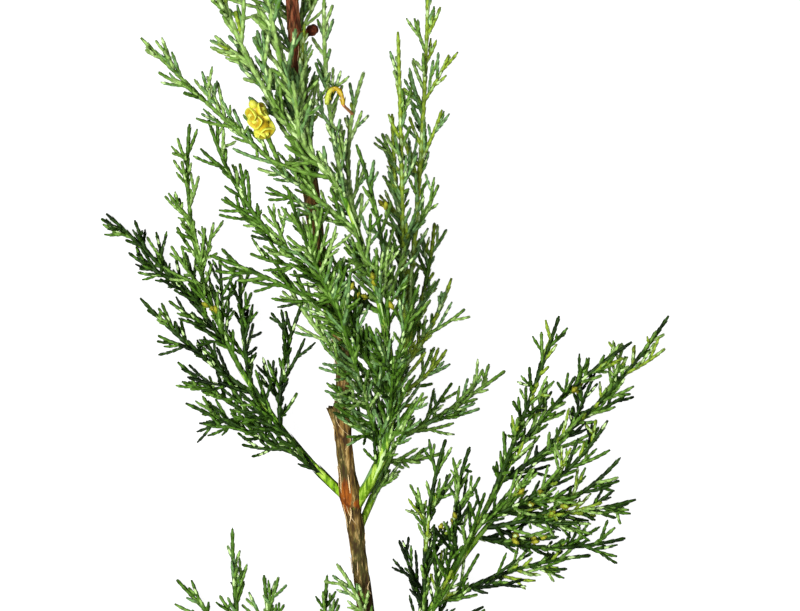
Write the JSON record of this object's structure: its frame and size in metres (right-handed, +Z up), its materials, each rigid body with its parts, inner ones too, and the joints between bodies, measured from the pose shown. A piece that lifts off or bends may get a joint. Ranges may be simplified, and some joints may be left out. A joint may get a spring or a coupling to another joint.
{
  "type": "cut cypress branch",
  "caption": "Cut branch of an Italian cypress, lying flat: a woody stem with green boughs, sprays of cord-like scale-leaved shoots, yellow pollen cones and a dried bud.",
  "frame": {"origin": "on the table that the branch lies on, under the middle of its box", "axes": "+Y along the stem from the cut to the tip, +Z up from the table, +X to the right seen from above"},
  "size_m": [0.1148, 0.2184, 0.0401],
  "materials": {
    "bark": "rough, ridged brown bark",
    "green_bark": "satin green bark",
    "foliage": "satin green scale leaves with lighter tips",
    "pollen": "dull yellow cone scales",
    "dry_bud": "dull dark brown"
  },
  "bodies": {
    "root": {"stem": "bark", "dried_bud": "dry_bud", "left_bough": "green_bark", "front_bough": "green_bark", "right_bough": "green_bark", "back_bough": "green_bark", "lower_right_bough": "green_bark", "lower_right_side_bough": "green_bark", "lower_left_bough": "green_bark", "left_low_spray": "foliage", "left_lower_middle_spray": "foliage", "left_middle_spray": "foliage", "left_inner_spray": "foliage", "left_outer_spray": "foliage", "left_tall_spray": "foliage", "left_upper_spray": "foliage", "front_top_spray": "foliage", "front_upper_left_spray": "foliage", "front_middle_left_spray": "foliage", "front_lower_left_spray": "foliage", "front_low_spray": "foliage", "front_centre_spray": "foliage", "front_right_spray": "foliage", "front_cone_spray": "foliage", "front_right_low_spray": "foliage", "front_right_middle_spray": "foliage", "front_crown_spray": "foliage", "right_high_spray": "foliage", "right_tall_spray": "foliage", "right_lower_spray": "foliage", "right_low_spray": "foliage", "right_outer_spray": "foliage", "right_inner_spray": "foliage", "back_spray": "foliage", "back_low_spray": "foliage", "lower_right_top_spray": "foliage", "lower_right_crown_spray": "foliage", "lower_right_base_spray": "foliage", "lower_right_spike_spray": "foliage", "lower_right_middle_spray": "foliage", "lower_right_low_spray": "foliage", "lower_right_inner_spray": "foliage", "lower_right_near_spray": "foliage", "lower_right_bottom_spray": "foliage", "lower_right_outer_spray": "foliage", "lower_right_curved_spray": "foliage", "lower_left_outer_spray": "foliage", "lower_left_tall_spray": "foliage", "lower_left_inner_spray": "foliage", "lower_left_near_spray": "foliage", "lower_front_spray": "foliage", "under_spray": "foliage", "top_left_spray": "foliage", "top_right_spray": "foliage", "top_back_spray": "foliage", "top_front_spray": "foliage", "top_side_spray": "foliage", "leader_spray": "foliage", "pollen_cone": "pollen", "small_pollen_cone": "pollen"}
  },
  "joints": []
}
